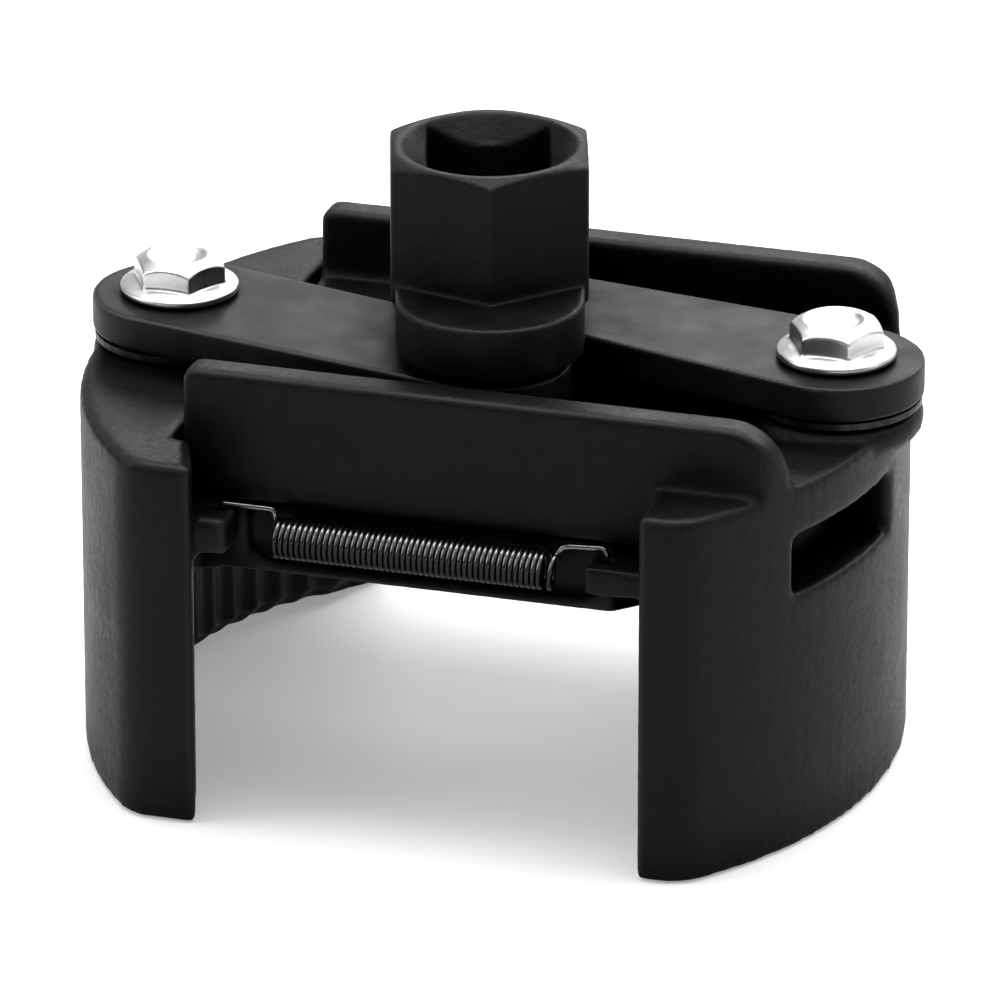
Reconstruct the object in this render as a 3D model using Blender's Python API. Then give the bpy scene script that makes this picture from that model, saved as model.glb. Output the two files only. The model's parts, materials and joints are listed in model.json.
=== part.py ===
"""Two-way oil filter wrench: two sliding jaws drawn together by a crank hub and two links."""
import math

import bpy
import bmesh
from mathutils import Vector

MM = 0.001

# Heights in millimetres above the bottom of the legs
Z_TONGUE = (26.1, 33.6)
Z_PRONG = (29.3, 33.6)
Z_UNDER_LEFT = 25.6
Z_POCKET = 33.9
Z_WEB = (34.2, 40.8)
Z_TOP_LEFT = 40.8
Z_TOP_RIGHT = 41.1
Z_RAIL = 48.4
Z_BOSS = {-1: 41.2, 1: 42.2}
Z_SPACER = {-1: (41.5, 42.2), 1: (42.45, 43.15)}
Z_LINK = {-1: (42.5, 46.3), 1: (43.4, 47.2)}
Z_FLANGE = {-1: 46.6, 1: 47.5}
Z_THRUST = (46.55, 47.2)
Z_CRANK = (47.5, 53.3)
Z_HUB = 67.0
SOCKET_DEPTH = 13.0
Z_ORIGIN = Z_HUB - SOCKET_DEPTH

# Jaws, plan sizes
OUTER_R = 50.0
INNER_R = 37.4
HALF_DEPTH = 34.6
CORNER_R = 6.0
APEX = {-1: 43.4, 1: 45.0}
CUT = {-1: 22.4, 1: 26.3}
INNER_C = {-1: 2.0, 1: -0.9}
TOOTH_DEG = 5.7
TOOTH_DEPTH = 0.75
LEAD_IN = 2.6
RAIL_OUT = 26.1
RAIL_IN = 21.9
RAIL_LEFT = -26.0
RAIL_ARC_X = 33.0
RAIL_ARC_R = 6.5
POCKET_X = -27.0
WINDOW_Y = (-21.9, -1.9)
WINDOW_Z = (28.9, 35.5)
TAB_Y = (-21.2, -2.6)
TAB_DEPTH = 5.5

# Pivots
BOLT = {-1: -34.8, 1: 38.3}
PIN = {-1: (2.8, -8.9), 1: (-2.8, 8.9)}
LINK_R_OUTER = 9.4
LINK_R_INNER = {-1: 8.7, 1: 6.8}
CRANK_R = 10.0
HEX_AF = 21.0
SQUARE_AF = 13.05
SCREW_AF = 9.0
SCREW_HEAD = 4.0
HUB_DEG = math.degrees(math.atan2(2.8, 8.9))

# Springs
SPRING_Y = 28.4
SPRING_Z = 32.1
SPRING_X = (-14.9, 14.6)
SPRING_R = 1.7
WIRE_R = 0.35
HOOK_X = (-21.0, 21.4)


def clear():
    for ob in list(bpy.data.objects):
        bpy.data.objects.remove(ob)


def new_object(name, bm):
    bmesh.ops.remove_doubles(bm, verts=bm.verts, dist=1e-8)
    bmesh.ops.recalc_face_normals(bm, faces=bm.faces)
    me = bpy.data.meshes.new(name)
    bm.to_mesh(me)
    bm.free()
    ob = bpy.data.objects.new(name, me)
    bpy.context.scene.collection.objects.link(ob)
    return ob


def prism(name, outline, z0, z1):
    bm = bmesh.new()
    low = [bm.verts.new((x * MM, y * MM, z0 * MM)) for x, y in outline]
    top = [bm.verts.new((x * MM, y * MM, z1 * MM)) for x, y in outline]
    n = len(outline)
    bm.faces.new(low)
    bm.faces.new(top)
    for i in range(n):
        j = (i + 1) % n
        bm.faces.new((low[i], low[j], top[j], top[i]))
    return new_object(name, bm)


def box(name, xs, ys, zs):
    corners = [(xs[0], ys[0]), (xs[1], ys[0]), (xs[1], ys[1]), (xs[0], ys[1])]
    return prism(name, corners, zs[0], zs[1])


def side_prism(name, outline, y0, y1):
    """A prism whose outline is given in X and Z, standing between two depths."""
    bm = bmesh.new()
    near = [bm.verts.new((x * MM, y0 * MM, z * MM)) for x, z in outline]
    far = [bm.verts.new((x * MM, y1 * MM, z * MM)) for x, z in outline]
    n = len(outline)
    bm.faces.new(near)
    bm.faces.new(far)
    for i in range(n):
        j = (i + 1) % n
        bm.faces.new((near[i], near[j], far[j], far[i]))
    return new_object(name, bm)


def arc(cx, cy, r, a0, a1, n):
    pts = []
    for i in range(n + 1):
        a = math.radians(a0 + (a1 - a0) * i / n)
        pts.append((cx + r * math.cos(a), cy + r * math.sin(a)))
    return pts


def lathe(name, profile, cx, cy, n=40, inner=None):
    """Revolve (radius, z) points about the vertical line at cx, cy; a ring if the profile never meets it."""
    bm = bmesh.new()
    rows = []
    for r, z in profile:
        if r == 0:
            rows.append([bm.verts.new((cx * MM, cy * MM, z * MM))])
            continue
        row = []
        for i in range(n):
            a = 2 * math.pi * i / n
            row.append(bm.verts.new(((cx + r * math.cos(a)) * MM, (cy + r * math.sin(a)) * MM, z * MM)))
        rows.append(row)
    pairs = list(zip(rows, rows[1:]))
    if len(rows[0]) > 1:
        pairs.append((rows[-1], rows[0]))
    for a_row, b_row in pairs:
        for i in range(n):
            j = (i + 1) % n
            quad = [a_row[i % len(a_row)], a_row[j % len(a_row)]]
            quad += [b_row[j % len(b_row)], b_row[i % len(b_row)]]
            face = []
            for v in quad:
                if v not in face:
                    face.append(v)
            if len(face) > 2:
                bm.faces.new(face)
    return new_object(name, bm)


def combine(target, tool, operation):
    mod = target.modifiers.new("step", "BOOLEAN")
    mod.operation = operation
    mod.solver = "EXACT"
    mod.object = tool
    bpy.context.view_layer.update()
    deps = bpy.context.evaluated_depsgraph_get()
    result = bpy.data.meshes.new_from_object(target.evaluated_get(deps))
    target.modifiers.clear()
    target.data = result
    bpy.data.objects.remove(tool)
    bm = bmesh.new()
    bm.from_mesh(target.data)
    bmesh.ops.remove_doubles(bm, verts=bm.verts, dist=2e-6)
    bmesh.ops.triangulate(bm, faces=bm.faces)
    bm.to_mesh(target.data)
    bm.free()
    return target


def cut(target, *tools):
    for tool in tools:
        combine(target, tool, "DIFFERENCE")
    return target


def join(target, *tools):
    for tool in tools:
        combine(target, tool, "UNION")
    return target


def tidy(ob):
    """Weld what a boolean leaves within a hundredth of a millimetre."""
    bm = bmesh.new()
    bm.from_mesh(ob.data)
    bmesh.ops.remove_doubles(bm, verts=bm.verts, dist=1e-5)
    bmesh.ops.dissolve_degenerate(bm, edges=bm.edges, dist=1e-6)
    bmesh.ops.triangulate(bm, faces=bm.faces)
    bmesh.ops.recalc_face_normals(bm, faces=bm.faces)
    bm.to_mesh(ob.data)
    bm.free()
    return ob


def paint(ob, name, colour, metal, rough):
    mat = bpy.data.materials.get(name) or bpy.data.materials.new(name)
    mat.use_nodes = True
    bsdf = mat.node_tree.nodes["Principled BSDF"]
    bsdf.inputs["Base Color"].default_value = (*colour, 1.0)
    bsdf.inputs["Metallic"].default_value = metal
    bsdf.inputs["Roughness"].default_value = rough
    mat.diffuse_color = (*colour, 1.0)
    ob.data.materials.clear()
    ob.data.materials.append(mat)
    return ob


def set_origin(ob, x, y, z):
    """Give a piece its own origin, with the drive socket's floor as height zero of the whole."""
    for v in ob.data.vertices:
        v.co -= Vector((x, y, z)) * MM
    ob.location = (x * MM, y * MM, (z - Z_ORIGIN) * MM)


def shade(ob, angle=30):
    ob.data.shade_smooth()
    ob.data.set_sharp_from_angle(angle=math.radians(angle))


def side_arc(sx):
    """Outer wall of a jaw from front corner to back corner, as seen from above."""
    cx = APEX[1] - OUTER_R
    if sx < 0:
        cx = APEX[-1] - OUTER_R
    reach = OUTER_R - CORNER_R
    drop = HALF_DEPTH - CORNER_R
    span = math.sqrt(reach * reach - drop * drop)
    turn = math.degrees(math.atan2(drop, span))
    front = arc(cx + span, -drop, CORNER_R, -90, -turn, 6)
    main = arc(cx, 0, OUTER_R, -turn, turn, 40)
    back = arc(cx + span, drop, CORNER_R, turn, 90, 6)
    return [(sx * x, y) for x, y in front + main[1:-1] + back]


def inner_outline(sx):
    """The space inside a jaw: scalloped arc, bevelled cut edges, open towards the middle."""
    c = INNER_C[sx]
    end_x = sx * (CUT[sx] + 2.2)
    end_deg = math.degrees(math.acos(abs(end_x - c) / INNER_R))
    teeth = int(2 * end_deg / TOOTH_DEG)
    pts = []
    steps = 5
    half = teeth * TOOTH_DEG / 2
    for k in range(teeth):
        for s in range(steps):
            a = math.radians(-half + (k + s / steps) * TOOTH_DEG)
            r = INNER_R + TOOTH_DEPTH * math.sin(math.pi * s / steps)
            pts.append((c + sx * r * math.cos(a), r * math.sin(a)))
    a = math.radians(half)
    pts.append((c + sx * INNER_R * math.cos(a), INNER_R * math.sin(a)))
    ends = sx * CUT[sx]
    far = ends - sx * 70
    edge = HALF_DEPTH - 1.4
    return pts, [(ends, edge), (far, edge), (far, -edge), (ends, -edge)]


def inner_space(sx, top):
    """The space inside a jaw, wider over the last few millimetres so it goes over a filter easily."""
    wall, mouth = inner_outline(sx)
    c = INNER_C[sx]
    scale = (INNER_R + LEAD_IN) / INNER_R
    wide = [(c + (x - c) * scale, y * scale) for x, y in wall]
    bm = bmesh.new()
    rows = []
    for plan, z in ((wide, -5), (wide, 0), (wall, LEAD_IN), (wall, top)):
        rows.append([bm.verts.new((x * MM, y * MM, z * MM)) for x, y in plan + mouth])
    n = len(rows[0])
    for low, high in zip(rows, rows[1:]):
        for i in range(n):
            j = (i + 1) % n
            bm.faces.new((low[i], low[j], high[j], high[i]))
    bm.faces.new(rows[0])
    bm.faces.new(rows[-1])
    return new_object("space", bm)


def boss(s, low, full):
    """Round pad under a spacer washer, swelling out of the wall between the two heights given."""
    top = Z_BOSS[s]
    profile = [(0, low), (6.7, low), (9.4, full), (9.4, top - 0.5), (8.9, top), (0, top)]
    return lathe("boss", profile, BOLT[s], 0, 48)


def drill(x, y, r, z0, z1, n=32):
    return lathe("drill", [(0, z0), (r, z0), (r, z1), (0, z1)], x, y, n)


def channel_jaw():
    cut_x = CUT[1]
    shell = side_arc(1)
    plan = [(RAIL_LEFT, -RAIL_OUT), (cut_x, -RAIL_OUT), (cut_x, -HALF_DEPTH)]
    plan += shell
    plan += [(cut_x, HALF_DEPTH), (cut_x, RAIL_OUT), (RAIL_LEFT, RAIL_OUT)]
    body = prism("channel_jaw", plan, 0, Z_RAIL)
    top = Z_RAIL + 5
    step = [(36.5, Z_WEB[1]), (36.5, Z_TOP_RIGHT), (60.0, Z_TOP_RIGHT)]
    trough = [(-30.0, Z_WEB[1])] + step + [(60.0, top), (-30.0, top)]
    cut(body, side_prism("trough", trough, -RAIL_IN, RAIL_IN))
    cut(body, box("ledge", (cut_x - 0.4, 60), (-60, -RAIL_OUT), (Z_TOP_RIGHT, top)))
    cut(body, box("ledge", (cut_x - 0.4, 60), (RAIL_OUT, 60), (Z_TOP_RIGHT, top)))
    arc_end = RAIL_ARC_X + RAIL_ARC_R
    quarter = arc(RAIL_ARC_X, Z_RAIL - RAIL_ARC_R, RAIL_ARC_R, 90, 0, 10)
    end_plan = quarter + [(arc_end, Z_TOP_RIGHT), (60.0, Z_TOP_RIGHT), (60.0, top), (RAIL_ARC_X, top)]
    cut(body, side_prism("rail_end", end_plan, -60, -RAIL_IN + 0.5))
    cut(body, side_prism("rail_end", end_plan, RAIL_IN - 0.5, 60))
    nose = arc(RAIL_LEFT + 1.2, Z_RAIL - 1.2, 1.2, 90, 180, 4)
    nose_plan = nose + [(RAIL_LEFT - 3, Z_RAIL - 1.2), (RAIL_LEFT - 3, top), (RAIL_LEFT + 1.2, top)]
    cut(body, side_prism("nose", nose_plan, -60, 60))
    join(body, boss(1, 36.8, 39.9))
    cut(body, inner_space(1, Z_WEB[0]))
    cut(body, drill(BOLT[1], 0, 3.1, 35.6, 50))
    window = arc(WINDOW_Y[0] + 0.8, WINDOW_Z[0] + 0.8, 0.8, 180, 270, 3)
    window += arc(WINDOW_Y[1] - 0.8, WINDOW_Z[0] + 0.8, 0.8, 270, 360, 3)
    window += arc(WINDOW_Y[1] - 0.8, WINDOW_Z[1] - 0.8, 0.8, 0, 90, 3)
    window += arc(WINDOW_Y[0] + 0.8, WINDOW_Z[1] - 0.8, 0.8, 90, 180, 3)
    bm = bmesh.new()
    rings = [[bm.verts.new((x * MM, y * MM, z * MM)) for y, z in window] for x in (27.5, 60)]
    n = len(window)
    bm.faces.new(rings[0])
    bm.faces.new(rings[1])
    for i in range(n):
        j = (i + 1) % n
        bm.faces.new((rings[0][i], rings[0][j], rings[1][j], rings[1][i]))
    cut(body, new_object("window", bm))
    slot = arc(-12, 0, 4.5, 90, 270, 10) + arc(18, 0, 4.5, -90, 90, 10)
    cut(body, prism("slot", slot, 30, 50))
    for s in (-1, 1):
        ys = sorted((s * 26.5, s * 31.2))
        join(body, box("lug", (19.7, 28.5), ys, (30.3, 33.3)))
        cut(body, drill(HOOK_X[1], s * SPRING_Y, 0.8, 20, 40, 16))
    return tidy(body)


def tongue_jaw():
    cut_x = -CUT[-1]
    plan = side_arc(-1)
    plan = [(cut_x, -HALF_DEPTH)] + plan + [(cut_x, HALF_DEPTH)]
    body = prism("tongue_jaw", plan, 0, Z_TOP_LEFT)
    cut(body, inner_space(-1, Z_UNDER_LEFT))
    join(body, boss(-1, 34.8, 37.2))
    pocket_y = RAIL_OUT + 0.3
    for s in (-1, 1):
        slope = [(cut_x, s * 33.2), (cut_x - 2.5, s * 26.4), (cut_x - 2.5, s * 26.0),
                 (cut_x + 3, s * 26.0), (cut_x + 3, s * 33.2)]
        cut(body, prism("slope", slope, Z_UNDER_LEFT, 60))
    cut(body, box("pocket", (POCKET_X, 10), (-pocket_y, pocket_y), (Z_POCKET, 60)))
    half = RAIL_OUT - 0.2
    nose = [(21.0, -half), (24.0, -half + 3), (24.0, half - 3), (21.0, half)]
    tongue = [(-30.0, -half)] + nose + [(-30.0, half)]
    join(body, prism("tongue", tongue, *Z_TONGUE))
    tip_r = OUTER_R - TAB_DEPTH
    turn = [math.degrees(math.asin(y / tip_r)) for y in TAB_Y]
    prong = arc(APEX[1] - OUTER_R, 0, tip_r, turn[0], turn[1], 10)
    join(body, prism("prong", prong + [(15.0, TAB_Y[1]), (15.0, TAB_Y[0])], *Z_PRONG))
    cut(body, drill(BOLT[-1], 0, 3.1, 35.6, 50))
    for s in (-1, 1):
        ys = sorted((s * 27.1, s * 32.8))
        join(body, box("lug", (-26.5, -19.1), ys, (30.4, 34.4)))
        cut(body, drill(HOOK_X[0], s * SPRING_Y, 0.8, 20, 40, 16))
    return tidy(body)


def hull_outline(p0, r0, p1, r1, n=16):
    """Outline round two circles and their outer tangents."""
    dx, dy = p1[0] - p0[0], p1[1] - p0[1]
    base = math.degrees(math.atan2(dy, dx))
    lean = math.degrees(math.acos((r0 - r1) / math.hypot(dx, dy)))
    start = arc(p0[0], p0[1], r0, base + lean, base + 360 - lean, n)
    end = arc(p1[0], p1[1], r1, base - lean, base + lean, n)
    return start + end


def drive_hub():
    body = prism("drive_hub", hull_outline(PIN[-1], CRANK_R, PIN[1], CRANK_R, 20), *Z_CRANK)
    bm = bmesh.new()
    bm.from_mesh(body.data)
    rim = [e for e in bm.edges if all(v.co.z > (Z_CRANK[1] - 0.01) * MM for v in e.verts)]
    bmesh.ops.bevel(bm, geom=rim, offset=0.9 * MM, segments=2, affect="EDGES", profile=0.5)
    bm.to_mesh(body.data)
    bm.free()
    corner = HEX_AF / math.sqrt(3)
    hexagon = [(corner * math.cos(math.radians(HUB_DEG - 90 + 60 * i)),
                corner * math.sin(math.radians(HUB_DEG - 90 + 60 * i))) for i in range(6)]
    head = prism("head", hexagon, Z_CRANK[1] - 2, Z_HUB)
    cone = [(0, 45), (16, 45), (16, Z_HUB - 1.9), (10.2, Z_HUB + 0.001), (0, Z_HUB + 0.001)]
    combine(head, lathe("cone", cone, 0, 0, 60), "INTERSECT")
    join(body, head)
    half = SQUARE_AF / math.sqrt(2)
    square = [(half * math.cos(math.radians(HUB_DEG - 45 + 90 * i)),
               half * math.sin(math.radians(HUB_DEG - 45 + 90 * i))) for i in range(4)]
    cut(body, prism("socket", square, Z_ORIGIN, Z_HUB + 5))
    sink = [(0, Z_HUB - 2.4), (7.0, Z_HUB - 2.4), (10.2, Z_HUB + 0.8), (0, Z_HUB + 0.8)]
    cut(body, lathe("countersink", sink, 0, 0, 60))
    for s in (-1, 1):
        cut(body, drill(PIN[s][0], PIN[s][1], 2.5, 40, 51.0))
    return tidy(body)


def link(name, s):
    outline = hull_outline((BOLT[s], 0), LINK_R_OUTER, PIN[s], LINK_R_INNER[s])
    body = prism(name, outline, *Z_LINK[s])
    hole = 4.6 if s < 0 else 3.9
    cut(body, drill(BOLT[s], 0, 4.5, 40, 50, 40))
    cut(body, drill(PIN[s][0], PIN[s][1], hole, 40, 50, 40))
    return tidy(body)


def flange_bolt(name, s):
    x = BOLT[s]
    z = Z_FLANGE[s]
    shank = [(0, 36.0), (2.4, 36.0), (2.8, 36.5), (2.8, z)]
    flange = [(6.4, z), (6.4, z + 0.8), (5.2, z + 1.3), (0, z + 1.3)]
    body = lathe(name, shank + flange, x, 0, 40)
    hexagon = arc(x, 0, SCREW_AF / math.sqrt(3), 0, 300, 5)
    top = z + SCREW_HEAD
    head = prism("head", hexagon, z + 0.5, top)
    cone = [(0, 40), (6.0, 40), (6.0, top - 1.8), (3.7, top + 0.001), (0, top + 0.001)]
    combine(head, lathe("cone", cone, x, 0, 48), "INTERSECT")
    return tidy(join(body, head))


def ring(name, x, y, r_in, r_out, z0, z1, n=40):
    return lathe(name, [(r_in, z0), (r_out, z0), (r_out, z1), (r_in, z1)], x, y, n)


def open_ring(name, x, y, r_in, r_out, z0, z1, turn):
    """A snap ring: a flat ring with a gap."""
    outline = arc(x, y, r_out, turn + 25, turn + 335, 24) + arc(x, y, r_in, turn + 335, turn + 25, 24)
    return prism(name, outline, z0, z1)


def crank_pin(name, s):
    """Pressed into the crank above, with a groove for its snap ring below the link."""
    x, y = PIN[s]
    low = Z_LINK[s][0]
    foot = [(0, low - 1.4), (3.0, low - 1.4), (3.2, low - 1.25), (3.2, low - 1.1)]
    groove = [(2.6, low - 1.1), (2.6, low - 0.4), (3.6, low - 0.4)]
    profile = foot + groove + [(3.6, 47.25), (2.45, 47.25), (2.45, 50.8), (0, 50.8)]
    return lathe(name, profile, x, y, 36)


def sweep(name, path, r, sides=8):
    """A round wire along a path of points."""
    pts = [Vector(p) for p in path]
    bm = bmesh.new()
    rings = []
    side = Vector((0, 1, 0))
    for i, p in enumerate(pts):
        a = pts[max(i - 1, 0)]
        b = pts[min(i + 1, len(pts) - 1)]
        along = (b - a).normalized()
        u = side - along * side.dot(along)
        if u.length < 1e-6:
            u = Vector((1, 0, 0)) - along * along.x
        u.normalize()
        side = u
        v = along.cross(u)
        row = []
        for k in range(sides):
            t = 2 * math.pi * k / sides
            row.append(bm.verts.new((p + u * (r * math.cos(t)) + v * (r * math.sin(t))) * MM))
        rings.append(row)
    for a_row, b_row in zip(rings, rings[1:]):
        for k in range(sides):
            m = (k + 1) % sides
            bm.faces.new((a_row[k], a_row[m], b_row[m], b_row[k]))
    bm.faces.new(rings[0])
    bm.faces.new(rings[-1])
    return new_object(name, bm)


def spring(name, s):
    """A tension spring: coarse coils with a straight hook at each end, its tips in the lug holes."""
    y = s * SPRING_Y
    turns = 16
    per_turn = 10
    x0, x1 = SPRING_X
    path = [(HOOK_X[0], y, 31.0), (HOOK_X[0], y, 34.3), (HOOK_X[0] + 0.5, y, 34.9), (x0 - 1.2, y, 34.4)]
    count = turns * per_turn
    for i in range(count + 1):
        a = 2 * math.pi * i / per_turn
        x = x0 + (x1 - x0) * i / count
        path.append((x, y + SPRING_R * math.sin(a), SPRING_Z + SPRING_R * math.cos(a)))
    path += [(x1 + 1.2, y, 34.0), (HOOK_X[1] - 0.5, y, 34.2), (HOOK_X[1], y, 33.6), (HOOK_X[1], y, 30.4)]
    return sweep(name, path, WIRE_R, 6)


def build():
    clear()
    cast = (0.022, 0.022, 0.024)
    jaw_a = channel_jaw()
    jaw_b = tongue_jaw()
    paint(jaw_a, "channel_jaw_cast", cast, 0.35, 0.5)
    paint(jaw_b, "tongue_jaw_cast", cast, 0.35, 0.5)
    hub = drive_hub()
    paint(hub, "drive_hub_forged", (0.05, 0.05, 0.053), 0.55, 0.45)
    made = [(jaw_a, (0, 0, 0)), (jaw_b, (0, 0, 0)), (hub, (0, 0, 0))]
    for s, side in ((-1, "left"), (1, "right")):
        arm = link(side + "_link", s)
        paint(arm, side + "_link_steel", (0.10, 0.10, 0.105), 0.8, 0.4)
        made.append((arm, (BOLT[s], 0, 0)))
        bolt = flange_bolt(side + "_link_bolt", s)
        paint(bolt, side + "_bolt_zinc", (0.75, 0.76, 0.78), 1.0, 0.25)
        made.append((bolt, (BOLT[s], 0, 0)))
        sleeve = ring(side + "_pivot_sleeve", BOLT[s], 0, 3.1, 4.2, Z_BOSS[s] + 0.3, Z_FLANGE[s] - 0.25)
        paint(sleeve, side + "_sleeve_steel", (0.5, 0.5, 0.52), 1.0, 0.35)
        made.append((sleeve, (BOLT[s], 0, 0)))
        spacer = ring(side + "_spacer_washer", BOLT[s], 0, 4.5, 9.2, *Z_SPACER[s])
        paint(spacer, side + "_spacer_steel", (0.12, 0.12, 0.125), 0.8, 0.4)
        made.append((spacer, (BOLT[s], 0, 0)))
    for s, side in ((-1, "front"), (1, "rear")):
        x, y = PIN[s]
        pin = crank_pin(side + "_crank_pin", s)
        paint(pin, side + "_pin_steel", (0.45, 0.45, 0.46), 1.0, 0.35)
        made.append((pin, (x, y, 0)))
        low = Z_LINK[s][0]
        clip = open_ring(side + "_pin_snap_ring", x, y, 2.9, 5.9, low - 1.0, low - 0.5, 90 * s)
        paint(clip, side + "_snap_ring_steel", (0.08, 0.08, 0.085), 0.9, 0.4)
        made.append((clip, (x, y, 0)))
        coil = spring(side + "_spring", s)
        paint(coil, side + "_spring_wire", (0.06, 0.06, 0.065), 0.9, 0.3)
        made.append((coil, (0, 0, 0)))
    x, y = PIN[-1]
    thrust = ring("front_thrust_washer", x, y, 3.9, 7.2, *Z_THRUST)
    paint(thrust, "front_thrust_steel", (0.12, 0.12, 0.125), 0.8, 0.4)
    made.append((thrust, (x, y, 0)))
    for ob, origin in made:
        set_origin(ob, *origin)
        shade(ob)


build()
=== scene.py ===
"""Oil filter wrench: its looks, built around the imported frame.

The castings are remeshed from their CAD solids and softened as a sand casting is. The hub, links, screws
and springs are modelled here. Lengths are in millimetres until MM turns them into metres.
"""
import json
import math

import bmesh
import bpy
import numpy as np
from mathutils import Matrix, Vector, noise


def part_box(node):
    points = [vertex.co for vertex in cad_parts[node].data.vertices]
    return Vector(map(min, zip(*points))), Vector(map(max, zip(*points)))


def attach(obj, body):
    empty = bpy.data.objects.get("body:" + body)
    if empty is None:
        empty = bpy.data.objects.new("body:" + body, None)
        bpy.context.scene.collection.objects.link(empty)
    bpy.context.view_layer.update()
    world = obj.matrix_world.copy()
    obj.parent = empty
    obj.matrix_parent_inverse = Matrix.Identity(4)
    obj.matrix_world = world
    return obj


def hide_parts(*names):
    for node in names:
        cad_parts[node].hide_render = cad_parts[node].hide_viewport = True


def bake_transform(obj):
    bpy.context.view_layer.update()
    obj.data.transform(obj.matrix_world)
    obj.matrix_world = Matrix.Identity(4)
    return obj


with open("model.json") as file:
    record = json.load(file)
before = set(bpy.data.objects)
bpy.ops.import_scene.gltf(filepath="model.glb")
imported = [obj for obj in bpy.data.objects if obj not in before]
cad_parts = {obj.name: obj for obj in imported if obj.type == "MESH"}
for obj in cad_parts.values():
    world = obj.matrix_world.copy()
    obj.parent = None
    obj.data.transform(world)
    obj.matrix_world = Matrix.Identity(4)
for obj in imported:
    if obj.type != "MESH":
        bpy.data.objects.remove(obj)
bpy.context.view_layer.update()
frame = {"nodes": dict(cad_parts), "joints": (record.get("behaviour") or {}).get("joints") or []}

MM = 0.001


def joint_point(name):
    """A joint's place in millimetres."""
    joint = next(j for j in frame["joints"] if j["name"] == name)
    return Vector(joint["pos_m"]) / MM


def node_box(name):
    low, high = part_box(name)
    return low / MM, high / MM


# Pivots, from the joints: -1 is the left side or the front, 1 is the right side or the back
SCREW = {-1: joint_point("left_link_hinge"), 1: joint_point("right_link_hinge")}
PIN = {1: joint_point("hub_hinge")}
PIN[-1] = Vector((-PIN[1].x, -PIN[1].y, PIN[1].z))
HUB_TURN = math.atan2(-PIN[1].x, PIN[1].y)

# Heights, from the nodes
FOOT_Z = node_box("channel_jaw")[0].z
CRANK_Z = node_box("drive_hub")[0].z
HUB_Z = node_box("drive_hub")[1].z
TONGUE_FLOOR = FOOT_Z + 26.1

# Hub
CRANK_R = 10.0
CRANK_TOP = CRANK_Z + 5.8
HEX_AF = 21.0
HEX_CHAMFER = 1.9
RIM_R = 10.2
SQUARE_AF = 13.05
SOCKET_DEPTH = 13.0

# Links
LINK_R_OUTER = 9.4
LINK_R_INNER = {-1: 8.7, 1: 6.8}
SLEEVE_HOLE_R = 4.5
PIN_HOLE_R = {-1: 4.6, 1: 3.9}

# Screws
FLANGE_R = 6.4
SCREW_AF = 9.0
SCREW_HEAD = 4.0
SHANK_R = 2.8
SHANK_REACH = 10.6

# Jaws
TEETH_R = (36.2, 39.4)
TEETH_CENTRE = {-1: 2.0, 1: -0.9}
TEETH_TOP = {-1: FOOT_Z + 25.0, 1: FOOT_Z + 33.5}
RECESS_LIP = TONGUE_FLOOR + 1.0
RECESS_Y = (24.2, 26.5)

# Springs
SPRING_Y = 28.4
SPRING_Z = FOOT_Z + 31.5
SPRING_X = (-14.9, 14.6)
COIL_R = 1.95
WIRE_R = 0.285
TURNS = 48
TURN_STEPS = 20
LOOSE_TURN = 0.8
HOOK_X = (-21.0, 21.4)

# Camera
CAMERA_TURN = 16.75
CAMERA_RISE = 22.91
CAMERA_DISTANCE = 1.045
CAMERA_LENS = 350.0
CAMERA_AIM = Vector((1.2, 0.0, FOOT_Z + 26.2)) * MM


# ---------------------------------------------------------------- meshes

def object_from(name, bm):
    bmesh.ops.remove_doubles(bm, verts=bm.verts, dist=1e-8)
    bmesh.ops.recalc_face_normals(bm, faces=bm.faces)
    mesh = bpy.data.meshes.new(name)
    bm.to_mesh(mesh)
    bm.free()
    ob = bpy.data.objects.new(name, mesh)
    bpy.context.scene.collection.objects.link(ob)
    return ob


def loft(name, rings):
    """A closed solid through rings of points, each ring with the same number of points."""
    bm = bmesh.new()
    rows = [[bm.verts.new(Vector(p) * MM) for p in ring] for ring in rings]
    count = len(rows[0])
    for low, high in zip(rows, rows[1:]):
        for i in range(count):
            j = (i + 1) % count
            bm.faces.new((low[i], low[j], high[j], high[i]))
    bm.faces.new(rows[0])
    bm.faces.new(rows[-1])
    return object_from(name, bm)


def prism(name, outline, z0, z1):
    return loft(name, [[(x, y, z) for x, y in outline] for z in (z0, z1)])


def lathe(name, profile, x, y, count=96):
    """Rings of the given radius and height about a vertical line, closed at both ends."""
    rings = []
    for radius, z in profile:
        ring = []
        for i in range(count):
            a = math.tau * i / count
            ring.append((x + radius * math.cos(a), y + radius * math.sin(a), z))
        rings.append(ring)
    return loft(name, rings)


def arc(cx, cy, r, a0, a1, n):
    pts = []
    for i in range(n + 1):
        a = a0 + (a1 - a0) * i / n
        pts.append((cx + r * math.cos(a), cy + r * math.sin(a)))
    return pts


def hull(p0, r0, p1, r1, n=48):
    """Outline round two circles and their outer tangents."""
    dx, dy = p1.x - p0.x, p1.y - p0.y
    base = math.atan2(dy, dx)
    lean = math.acos((r0 - r1) / math.hypot(dx, dy))
    start = arc(p0.x, p0.y, r0, base + lean, base + math.tau - lean, n)
    return start + arc(p1.x, p1.y, r1, base - lean, base + lean, n)


def polygon(cx, cy, r, sides, turn):
    angles = [turn + math.tau * i / sides for i in range(sides)]
    return [(cx + r * math.cos(a), cy + r * math.sin(a)) for a in angles]


def combine(target, tool, operation):
    """Join tool to target, cut it away or keep what both share. The tool is used up."""
    mod = target.modifiers.new("step", "BOOLEAN")
    mod.operation = operation
    mod.solver = "EXACT"
    mod.object = tool
    target.data = evaluated(target)
    target.modifiers.clear()
    bpy.data.objects.remove(tool)
    return target


def evaluated(ob):
    bpy.context.view_layer.update()
    deps = bpy.context.evaluated_depsgraph_get()
    return bpy.data.meshes.new_from_object(ob.evaluated_get(deps))


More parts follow.
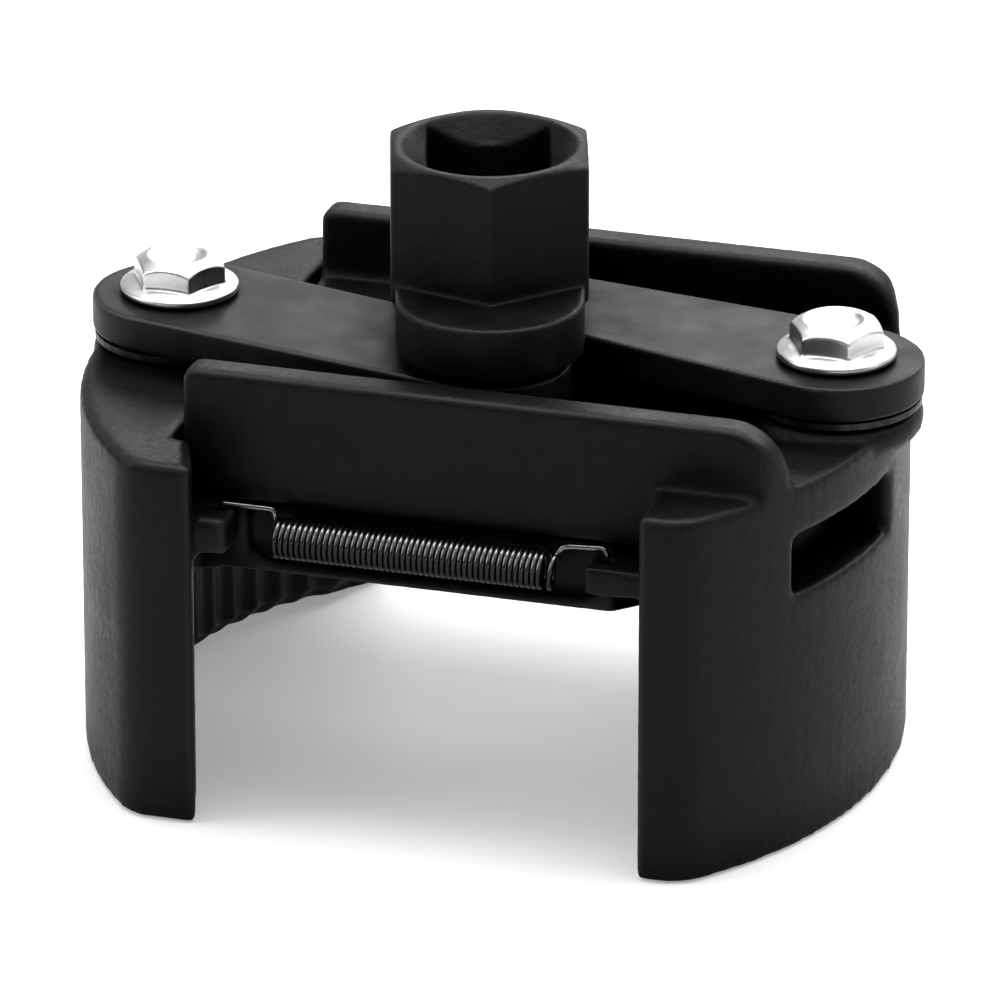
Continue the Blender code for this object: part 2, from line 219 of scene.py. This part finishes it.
def copy_of(node, name):
    """A welded copy of a CAD node's mesh."""
    bm = bmesh.new()
    bm.from_mesh(frame["nodes"][node].data)
    bmesh.ops.remove_doubles(bm, verts=bm.verts, dist=2e-6)
    return object_from(name, bm)


def points_of(mesh):
    co = np.empty(len(mesh.vertices) * 3, np.float32)
    mesh.vertices.foreach_get("co", co)
    return co.reshape(-1, 3).astype(float)


def normals_of(mesh):
    no = np.empty(len(mesh.vertices) * 3, np.float32)
    mesh.vertex_normals.foreach_get("vector", no)
    return no.reshape(-1, 3).astype(float)


def soften(ob, voxel, rounds, hold=None):
    """Remesh ob into even squares and round its edges off. What an edge loses is kept as a point attribute,
    above 0 on outer edges and below 0 in inner corners. The materials use it to paint edges lighter, partly
    as wear and partly as a painted highlight, and to paint shade into the zinc's inner corners. hold gives
    points that soften less."""
    mod = ob.modifiers.new("squares", "REMESH")
    mod.mode = "VOXEL"
    mod.voxel_size = voxel * MM
    ob.data = evaluated(ob)
    ob.modifiers.clear()
    mesh = ob.data
    edges = np.empty(len(mesh.edges) * 2, np.int32)
    mesh.edges.foreach_get("vertices", edges)
    a, b = edges.reshape(-1, 2).T
    count = len(mesh.vertices)
    degree = np.bincount(a, minlength=count) + np.bincount(b, minlength=count)
    start = points_of(mesh)
    share = np.full((count, 1), 0.5)
    if hold is not None:
        share[hold(start / MM)] = 0.12
    co = start.copy()
    for _ in range(rounds):
        mean = np.empty_like(co)
        for k in range(3):
            near = np.bincount(a, co[b, k], count) + np.bincount(b, co[a, k], count)
            mean[:, k] = near / degree
        co += share * (mean - co)
    mesh.vertices.foreach_set("co", co.astype(np.float32).ravel())
    mesh.update()
    lost = ((start - co) * normals_of(mesh)).sum(1) / MM
    layer = mesh.attributes.new("wear", "FLOAT", "POINT")
    layer.data.foreach_set("value", lost.astype(np.float32))
    mesh.shade_smooth()
    return ob


def roughen(ob, height, size):
    """Lift and lower the surface a little, like the skin of a casting."""
    mesh = ob.data
    co = points_of(mesh)
    no = normals_of(mesh)
    lift = np.array([noise.noise(Vector(p) / (size * MM)) for p in co])
    co += no * (lift * height * MM)[:, None]
    mesh.vertices.foreach_set("co", co.astype(np.float32).ravel())
    mesh.update()
    return ob


# ---------------------------------------------------------------- materials

class Look:
    """A Principled material and the few node helpers that the looks below share."""

    def __init__(self, name, metallic=0.0, specular=0.5):
        self.mat = bpy.data.materials.new(name)
        self.mat.use_nodes = True
        self.tree = self.mat.node_tree
        self.bsdf = self.tree.nodes["Principled BSDF"]
        self.bsdf.inputs["Metallic"].default_value = metallic
        self.bsdf.inputs["Specular IOR Level"].default_value = specular
        self.place = self.tree.nodes.new("ShaderNodeTexCoord").outputs["Object"]

    def put(self, socket, value):
        if isinstance(value, bpy.types.NodeSocket):
            self.tree.links.new(value, socket)
        else:
            socket.default_value = value

    def grain(self, size, detail=3.0, stretch=(1, 1, 1), turn=0.0):
        """Noise whose spots are about size millimetres across, longer where stretch is above 1."""
        mapping = self.tree.nodes.new("ShaderNodeMapping")
        mapping.inputs["Rotation"].default_value = (0, 0, turn)
        mapping.inputs["Scale"].default_value = [1 / (size * MM * s) for s in stretch]
        self.put(mapping.inputs["Vector"], self.place)
        node = self.tree.nodes.new("ShaderNodeTexNoise")
        node.inputs["Scale"].default_value = 1.0
        node.inputs["Detail"].default_value = detail
        self.put(node.inputs["Vector"], mapping.outputs["Vector"])
        return node.outputs["Fac"]

    # The point attribute from soften: it drives lighter edges, partly wear and partly a painted highlight,
    # and painted shade in inner corners.
    def wear(self):
        node = self.tree.nodes.new("ShaderNodeAttribute")
        node.attribute_name = "wear"
        return node.outputs["Fac"]

    def ambient_occlusion(self):
        """1 in the open, towards 0 in recesses, by ambient occlusion: the mask for painted shade."""
        node = self.tree.nodes.new("ShaderNodeAmbientOcclusion")
        node.samples = 6
        node.inputs["Distance"].default_value = 9.0 * MM
        return node.outputs["AO"]

    def spread(self, value, low, high, to_low=0.0, to_high=1.0):
        """value's range low to high, drawn out to another range and held inside it."""
        node = self.tree.nodes.new("ShaderNodeMapRange")
        self.put(node.inputs["Value"], value)
        node.inputs["From Min"].default_value = low
        node.inputs["From Max"].default_value = high
        node.inputs["To Min"].default_value = to_low
        node.inputs["To Max"].default_value = to_high
        return node.outputs["Result"]

    def math(self, operation, a, b):
        node = self.tree.nodes.new("ShaderNodeMath")
        node.operation = operation
        self.put(node.inputs[0], a)
        self.put(node.inputs[1], b)
        return node.outputs["Value"]

    def sum(self, a, b):
        return self.math("ADD", a, b)

    def product(self, a, b):
        return self.math("MULTIPLY", a, b)

    def worn_and_highlit(self, grain, ragged, low, high):
        """How far an edge is rubbed bare and painted with a highlight, with a border broken up by grain."""
        return self.spread(self.sum(self.wear(), self.spread(grain, 0.35, 0.65, -ragged, ragged)), low, high)

    def mix(self, share, a, b):
        node = self.tree.nodes.new("ShaderNodeMix")
        node.data_type = "RGBA"
        self.put(node.inputs["Factor"], share)
        self.put(node.inputs[6], (*a, 1.0) if isinstance(a, tuple) else a)
        self.put(node.inputs[7], (*b, 1.0) if isinstance(b, tuple) else b)
        return node.outputs[2]

    def bump(self, height, depth, strength=1.0, under=None):
        node = self.tree.nodes.new("ShaderNodeBump")
        node.inputs["Strength"].default_value = strength
        node.inputs["Distance"].default_value = depth * MM
        self.put(node.inputs["Height"], height)
        if under is not None:
            self.put(node.inputs["Normal"], under)
        return node.outputs["Normal"]

    def shaded_in_recesses(self, colour, level):
        """Painted shade in recesses: darker colour and less shine where ambient occlusion is low."""
        light_reach = self.spread(self.ambient_occlusion(), 0.15, 0.85, 0.12, 1.0)
        self.put(self.bsdf.inputs["Specular IOR Level"], self.product(light_reach, level))
        # painted shade: the colour goes near black in recesses
        return self.mix(light_reach, (0.0008, 0.0008, 0.0008), colour)

    def finish(self, colour, roughness, normal=None):
        self.put(self.bsdf.inputs["Base Color"], colour)
        self.put(self.bsdf.inputs["Roughness"], roughness)
        if normal is not None:
            self.put(self.bsdf.inputs["Normal"], normal)
        return self.mat


def casting_black():
    """Black satin coat over cast steel: fine pitted skin, faint dust, edges a little lighter, partly rubbed
    and partly a painted highlight, and painted shade in recesses.
    """
    look = Look("casting_black")
    skin = look.grain(0.55, 5.0)
    broad = look.grain(9.0, 3.0)
    worn_and_highlit = look.worn_and_highlit(skin, 0.03, 0.05, 0.22)
    colour = look.mix(look.spread(broad, 0.35, 0.65), (0.0030, 0.0031, 0.0033), (0.0058, 0.0059, 0.0062))
    # Edges lighter: partly rubbed wear, partly a painted highlight.
    colour = look.mix(look.product(worn_and_highlit, 0.7), colour, (0.022, 0.022, 0.023))
    rough = look.sum(look.spread(skin, 0.3, 0.7, 0.36, 0.47), look.spread(broad, 0.3, 0.7, -0.04, 0.05))
    fine = look.bump(look.grain(0.24, 2.0), 0.03, 0.35)
    normal = look.bump(skin, 0.07, 0.4, fine)
    # Painted shade: darker and less shiny in recesses.
    return look.finish(look.shaded_in_recesses(colour, 0.19), rough, normal)


def forged_black():
    """Hub: blackened forging, a touch greyer than the castings."""
    look = Look("forged_black")
    skin = look.grain(0.5, 5.0)
    broad = look.grain(5.0, 3.0)
    worn_and_highlit = look.worn_and_highlit(skin, 0.02, 0.02, 0.12)
    colour = look.mix(look.spread(broad, 0.35, 0.65), (0.0045, 0.0045, 0.0047), (0.0085, 0.0085, 0.0088))
    # Edges lighter: partly rubbed wear, partly a painted highlight.
    colour = look.mix(look.product(worn_and_highlit, 0.6), colour, (0.045, 0.045, 0.047))
    rough = look.sum(look.spread(skin, 0.3, 0.7, 0.38, 0.5), look.spread(broad, 0.3, 0.7, -0.05, 0.05))
    normal = look.bump(skin, 0.08, 0.45, look.bump(look.grain(0.2, 2.0), 0.02, 0.3))
    # Painted shade: darker and less shiny in recesses.
    return look.finish(look.shaded_in_recesses(colour, 0.19), rough, normal)


def plate_steel(name, turn):
    """Links: oil-blackened plate with drawn streaks, brown oil shadows, bright edges that are partly worn
    and partly a painted highlight, and painted shade in recesses.
    """
    look = Look(name)
    streaks = look.grain(0.16, 3.0, (60, 1, 1), turn)
    blotch = look.grain(4.5, 4.0)
    stain = look.grain(11.0, 2.0)
    pits = look.grain(0.35, 4.0)
    worn_and_highlit = look.worn_and_highlit(pits, 0.004, 0.03, 0.1)
    colour = look.mix(look.spread(blotch, 0.35, 0.65), (0.008, 0.008, 0.0082), (0.014, 0.014, 0.0142))
    colour = look.mix(look.spread(stain, 0.5, 0.75, 0.0, 0.6), colour, (0.020, 0.014, 0.009))
    # Edges lighter: partly rubbed wear, partly a painted highlight.
    colour = look.mix(look.product(worn_and_highlit, 0.55), colour, (0.10, 0.10, 0.102))
    rough = look.sum(look.spread(blotch, 0.3, 0.7, 0.36, 0.5), look.spread(worn_and_highlit, 0, 1, 0, -0.1))
    normal = look.bump(pits, 0.03, 0.3, look.bump(streaks, 0.01, 0.35))
    # Painted shade: darker and less shiny in recesses.
    return look.finish(look.shaded_in_recesses(colour, 0.2), rough, normal)


def zinc():
    """Screws: bright zinc plating, faintly clouded, with painted shade in inner corners."""
    look = Look("zinc_plate", metallic=1.0)
    cloud = look.grain(2.2, 4.0)
    fine = look.grain(0.18, 3.0)
    painted_corner_shade = look.spread(look.wear(), -0.05, -0.005, 1.0, 0.0)
    colour = look.mix(look.spread(cloud, 0.3, 0.7), (0.54, 0.55, 0.57), (0.68, 0.68, 0.675))
    # Painted shade: zinc darker in inner corners.
    colour = look.mix(look.product(painted_corner_shade, 0.55), colour, (0.28, 0.28, 0.29))
    rough = look.sum(look.spread(cloud, 0.3, 0.7, 0.27, 0.37), look.spread(fine, 0.3, 0.7, -0.02, 0.03))
    return look.finish(colour, rough, look.bump(fine, 0.012, 0.3))


def spring_steel():
    """Springs and snap rings: black oiled wire with a tight shine, painted lighter on a spring's top half
    and painted darker on its underside.
    """
    look = Look("spring_steel", metallic=1.0)
    drawn = look.grain(0.5, 3.0)
    parts = look.tree.nodes.new("ShaderNodeSeparateXYZ")
    look.put(parts.inputs["Vector"], look.place)
    # Painted light and shade: the wire's top half lighter, its underside darker.
    painted_top_light = look.spread(parts.outputs["Z"], (SPRING_Z + 0.3) * MM, (SPRING_Z + 0.8) * MM)
    colour = look.mix(look.spread(drawn, 0.3, 0.7), (0.13, 0.13, 0.134), (0.21, 0.21, 0.215))
    colour = look.mix(painted_top_light, (0.035, 0.035, 0.036), colour)
    rough = look.spread(drawn, 0.3, 0.7, 0.16, 0.26)
    return look.finish(colour, rough, look.bump(look.grain(0.12, 2.0), 0.01, 0.25))


def ground_steel():
    """Sleeves and crank pins: ground round and lightly oiled, with marks running round them."""
    look = Look("ground_steel", metallic=1.0)
    rings = look.grain(0.12, 3.0, (40, 40, 1))
    cloud = look.grain(2.5, 3.0)
    colour = look.mix(look.spread(cloud, 0.3, 0.7), (0.34, 0.34, 0.35), (0.48, 0.48, 0.48))
    rough = look.spread(rings, 0.3, 0.7, 0.24, 0.38)
    return look.finish(colour, rough, look.bump(rings, 0.01, 0.3))


def washer_steel():
    """Spacer washers: dark oiled steel with a lighter rubbed cloud."""
    look = Look("washer_steel", metallic=0.85)
    cloud = look.grain(1.8, 4.0)
    colour = look.mix(look.spread(cloud, 0.35, 0.65), (0.020, 0.020, 0.021), (0.055, 0.055, 0.056))
    rough = look.spread(cloud, 0.3, 0.7, 0.3, 0.45)
    return look.finish(colour, rough, look.bump(look.grain(0.2, 3.0), 0.012, 0.3))


def place(ob, body, material, slot, *nodes):
    """Give a piece its material, the body it rides on and the nodes it stands for."""
    ob.data.materials.clear()
    ob.data.materials.append(material)
    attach(ob, body)
    if nodes:
        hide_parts(*nodes)
    return ob


# ---------------------------------------------------------------- pieces

def teeth(side):
    """Points on a jaw's toothed inner wall, which stay crisp."""
    def inside(co):
        r = np.hypot(co[:, 0] - TEETH_CENTRE[side], co[:, 1])
        at_side = co[:, 0] * side > 0
        return (r > TEETH_R[0]) & (r < TEETH_R[1]) & (co[:, 2] < TEETH_TOP[side]) & at_side
    return inside


def castings():
    coat = casting_black()
    right = copy_of("channel_jaw", "channel_jaw_casting")
    soften(right, 0.45, 8, teeth(1))
    roughen(right, 0.03, 1.1)
    place(right, "channel_jaw", coat, "jaw_casting", "channel_jaw")
    left = copy_of("tongue_jaw", "tongue_jaw_casting")
    for side in (-1, 1):
        spring_recess(left, side)
    soften(left, 0.45, 8, teeth(-1))
    roughen(left, 0.03, 1.1)
    place(left, "tongue_jaw", coat, "jaw_casting", "tongue_jaw")


def spring_recess(ob, side):
    """The tongue's edge is set back behind a spring, above a low lip that slopes up at both ends."""
    outline = [(-16.3, 0.0), (17.3, 0.0), (19.8, 1.0), (19.8, 12.0), (-18.9, 12.0), (-18.9, 1.5)]
    walls = [[(x, side * y, RECESS_LIP + z) for x, z in outline] for y in RECESS_Y]
    combine(ob, loft("recess", walls), "DIFFERENCE")


def hub():
    """A crank with rounded ends, a chamfered hexagon on it and a countersunk square socket."""
    crank = hull(PIN[-1], CRANK_R, PIN[1], CRANK_R)
    body = prism("drive_hub_forging", crank, CRANK_Z, CRANK_TOP)
    corner = HEX_AF / math.sqrt(3)
    head = prism("head", polygon(0, 0, corner, 6, HUB_TURN - math.pi / 2), CRANK_TOP - 2, HUB_Z)
    cone = [(16, CRANK_Z), (16, HUB_Z - HEX_CHAMFER), (RIM_R, HUB_Z + 0.001)]
    combine(head, lathe("cone", cone, 0, 0), "INTERSECT")
    combine(body, head, "UNION")
    square = polygon(0, 0, SQUARE_AF / math.sqrt(2), 4, HUB_TURN - math.pi / 4)
    combine(body, prism("socket", square, HUB_Z - SOCKET_DEPTH, HUB_Z + 5), "DIFFERENCE")
    countersink = [(6.8, HUB_Z - 2.6), (RIM_R, HUB_Z + 0.8)]
    combine(body, lathe("countersink", countersink, 0, 0), "DIFFERENCE")
    soften(body, 0.22, 6)
    roughen(body, 0.02, 0.9)
    place(body, "drive_hub", forged_black(), "hub_forging", "drive_hub")


def link(name, side):
    """A flat plate round a screw and a crank pin, with a hole for each."""
    outline = hull(SCREW[side], LINK_R_OUTER, PIN[side], LINK_R_INNER[side])
    low, high = node_box(name)[0].z, node_box(name)[1].z
    body = prism(name + "_plate", outline, low, high)
    for centre, radius in ((SCREW[side], SLEEVE_HOLE_R), (PIN[side], PIN_HOLE_R[side])):
        hole = lathe("hole", [(radius, low - 2), (radius, high + 2)], centre.x, centre.y)
        combine(body, hole, "DIFFERENCE")
    soften(body, 0.2, 9)
    along = PIN[side] - SCREW[side]
    turn = -math.atan2(along.y, along.x)
    place(body, name, plate_steel(name + "_steel", turn), "link_steel", name)


def screw(side, name):
    """A flange screw: dished and domed top, low hexagon, and a flange that slopes to its rim."""
    x = SCREW[side].x
    top = node_box(name)[1].z
    base = top - SCREW_HEAD
    flange = [(5.0, base), (FLANGE_R, base), (FLANGE_R, base + 0.7), (5.0, base + 1.25), (3.8, base + 1.4)]
    body = lathe(name + "_head", flange, x, 0)
    hexagon = prism("head", polygon(x, 0, SCREW_AF / math.sqrt(3), 6, 0), base + 0.5, top)
    dome = [(6.0, base - 5), (6.0, top - 1.8), (4.6, top - 0.55), (3.6, top + 0.001)]
    combine(hexagon, lathe("dome", dome, x, 0), "INTERSECT")
    combine(body, hexagon, "UNION")
    dish = [(1.8, top - 0.5), (2.6, top - 0.3), (3.0, top + 0.2)]
    combine(body, lathe("dish", dish, x, 0), "DIFFERENCE")
    shank = [(2.4, base - SHANK_REACH), (SHANK_R, base - SHANK_REACH + 0.5), (SHANK_R, base + 0.2)]
    combine(body, lathe("shank", shank, x, 0), "UNION")
    return soften(body, 0.14, 5)


def rounded(points, radius, steps=5):
    """The points of a path with its corners turned into short curves."""
    pts = [Vector(p) for p in points]
    path = [pts[0]]
    for before, corner, after in zip(pts, pts[1:], pts[2:]):
        a = corner + (before - corner).normalized() * min(radius, (before - corner).length / 2)
        b = corner + (after - corner).normalized() * min(radius, (after - corner).length / 2)
        for i in range(steps + 1):
            t = i / steps
            path.append(a * (1 - t) ** 2 + corner * 2 * t * (1 - t) + b * t * t)
    return path + [pts[-1]]


def turns(y, x, pitch, count):
    """The path of so many turns of wire from x on, each starting and ending at the top."""
    path = []
    for i in range(1, count * TURN_STEPS + 1):
        a = math.tau * i / TURN_STEPS
        along = x + pitch * i / TURN_STEPS
        path.append(Vector((along, y + COIL_R * math.sin(a), SPRING_Z + COIL_R * math.cos(a))))
    return path


def spring_path(y):
    """Close-wound turns and a looser one, between two hooks whose tips drop into the lug holes."""
    x0, x1 = SPRING_X
    left, right = HOOK_X
    top = SPRING_Z + COIL_R
    pitch = (x1 - x0) / TURNS
    hook = [(left, y, SPRING_Z - 0.8), (left, y, top + 1.2), (x0 - 0.1, y, top + 1.2), (x0, y, top)]
    path = rounded(hook, 0.6) + turns(y, x0, pitch, TURNS) + turns(y, x1, pitch + LOOSE_TURN, 1)
    end = path.pop()
    hook = [end, (end.x + 0.6, y, top + 0.9), (right, y, top + 1.2), (right, y, SPRING_Z - 0.6)]
    return path + rounded(hook, 0.9)


def tube(name, path, sides=10):
    """A closed tube along a path, and the path's x, in millimetres, for each of the tube's points."""
    bm = bmesh.new()
    rows = []
    middle = []
    side = Vector((0, 1, 0))
    for i, p in enumerate(path):
        along = (path[min(i + 1, len(path) - 1)] - path[max(i - 1, 0)]).normalized()
        side = (side - along * side.dot(along)).normalized()
        other = along.cross(side)
        row = []
        for k in range(sides):
            a = math.tau * k / sides
            out = side * math.cos(a) + other * math.sin(a)
            row.append(bm.verts.new((p + out * WIRE_R) * MM))
            middle.append(p.x)
        rows.append(row)
    for low, high in zip(rows, rows[1:]):
        for k in range(sides):
            m = (k + 1) % sides
            bm.faces.new((low[k], low[m], high[m], high[k]))
    bm.faces.new(rows[0])
    bm.faces.new(rows[-1])
    bmesh.ops.recalc_face_normals(bm, faces=bm.faces)
    mesh = bpy.data.meshes.new(name)
    bm.to_mesh(mesh)
    bm.free()
    mesh.shade_smooth()
    ob = bpy.data.objects.new(name, mesh)
    bpy.context.scene.collection.objects.link(ob)
    return ob, np.array(middle)


def spring(name, y):
    ob, middle = tube(name + "_coil", spring_path(y))
    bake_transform(ob)
    return ob


def fasteners():
    plating = zinc()
    for side, name, body in ((-1, "left_link_bolt", "tongue_jaw"), (1, "right_link_bolt", "channel_jaw")):
        place(screw(side, name), body, plating, "bolt_zinc", name)


def springs():
    wire = spring_steel()
    for name, y in (("front_spring", -SPRING_Y), ("rear_spring", SPRING_Y)):
        ob = spring(name, y)
        ob.data.materials.append(wire)
        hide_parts(name)
    return wire


def small_parts(wire):
    """CAD nodes whose shape is right: new materials and a fine broken edge."""
    ground = ground_steel()
    washer = washer_steel()
    looks = {"sleeve": ground, "crank_pin": ground, "washer": washer, "snap_ring": wire}
    for name, ob in frame["nodes"].items():
        for ending, material in looks.items():
            if name.endswith(ending):
                ob.data.materials.clear()
                ob.data.materials.append(material)
                edge = ob.modifiers.new("broken_edge", "BEVEL")
                edge.width = 0.1 * MM
                edge.segments = 2
                edge.limit_method = "ANGLE"
                edge.angle_limit = math.radians(50)


# ---------------------------------------------------------------- studio

def floor():
    """A pale floor that curves up into a wall behind. A faint glow keeps its shadows light."""
    look = Look("studio_floor", specular=0.2)
    look.bsdf.inputs["Emission Color"].default_value = (1.0, 1.0, 1.0, 1.0)
    look.bsdf.inputs["Emission Strength"].default_value = 0.35
    shade = look.mix(look.spread(look.grain(60.0, 2.0), 0.3, 0.7), (0.62, 0.62, 0.62), (0.64, 0.64, 0.64))
    look.finish(shade, 0.6)
    half_width, front, bend, radius, height = 2.4, -1.6, 1.0, 0.5, 1.6
    sweep = arc(bend, radius, radius, -math.pi / 2, 0, 16)
    profile = [(front, 0.0), *sweep, (bend + radius, height)]
    bm = bmesh.new()
    ground = FOOT_Z * MM - 0.0001
    rows = [[bm.verts.new((x, y, z + ground)) for y, z in profile] for x in (-half_width, half_width)]
    for i in range(len(profile) - 1):
        bm.faces.new((rows[0][i], rows[1][i], rows[1][i + 1], rows[0][i + 1]))
    mesh = bpy.data.meshes.new("studio_floor")
    bm.to_mesh(mesh)
    bm.free()
    mesh.shade_smooth()
    ob = bpy.data.objects.new("studio_floor", mesh)
    ob.data.materials.append(look.mat)
    bpy.context.scene.collection.objects.link(ob)


def softbox(name, place_at, size, power):
    """A soft lamp at a place measured from the point on the floor below the hub, aimed at the wrench."""
    base = Vector((0, 0, FOOT_Z * MM))
    spot = base + Vector(place_at)
    lamp = bpy.data.lights.new(name, "AREA")
    lamp.shape = "RECTANGLE"
    lamp.size, lamp.size_y = size
    lamp.energy = power
    ob = bpy.data.objects.new(name, lamp)
    ob.location = spot
    ob.rotation_euler = (base + Vector((0, 0, 0.03)) - spot).to_track_quat("-Z", "Y").to_euler()
    bpy.context.scene.collection.objects.link(ob)


def studio_air():
    """Light from all round: bright overhead, dim towards the horizon."""
    world = bpy.data.worlds.new("studio_air")
    bpy.context.scene.world = world
    world.use_nodes = True
    tree = world.node_tree
    parts = tree.nodes.new("ShaderNodeSeparateXYZ")
    tree.links.new(tree.nodes.new("ShaderNodeTexCoord").outputs["Generated"], parts.inputs["Vector"])
    level = tree.nodes.new("ShaderNodeMapRange")
    tree.links.new(parts.outputs["Z"], level.inputs["Value"])
    level.inputs["From Min"].default_value = 0.2
    level.inputs["From Max"].default_value = 0.75
    level.inputs["To Min"].default_value = 0.12
    level.inputs["To Max"].default_value = 0.95
    tree.links.new(level.outputs["Result"], tree.nodes["Background"].inputs["Strength"])
    tree.nodes["Background"].inputs["Color"].default_value = (1.0, 1.0, 1.0, 1.0)


def studio():
    floor()
    softbox("overhead", (0.0, 0.15, 0.9), (0.9, 0.7), 10.0)
    softbox("left_wall", (-0.8, -0.35, 0.45), (0.5, 0.7), 3.5)
    softbox("right_wall", (0.85, 0.1, 0.4), (0.35, 0.6), 1.2)
    softbox("back_strip", (0.1, 0.75, 0.5), (0.9, 0.25), 4.0)
    studio_air()
    bpy.context.scene.view_settings.view_transform = "Standard"
    bpy.context.scene.view_settings.gamma = 0.82


def camera():
    turn, rise = math.radians(CAMERA_TURN), math.radians(CAMERA_RISE)
    back = Vector((math.sin(turn) * math.cos(rise), -math.cos(turn) * math.cos(rise), math.sin(rise)))
    cam = bpy.data.cameras.new("camera")
    cam.sensor_width = 36.0
    cam.lens = CAMERA_LENS
    cam.clip_start = 0.05
    ob = bpy.data.objects.new("camera", cam)
    ob.location = CAMERA_AIM + back * CAMERA_DISTANCE
    ob.rotation_euler = (-back).to_track_quat("-Z", "Y").to_euler()
    bpy.context.scene.collection.objects.link(ob)
    bpy.context.scene.camera = ob


castings()
hub()
link("left_link", -1)
link("right_link", 1)
fasteners()
small_parts(springs())
studio()
camera()
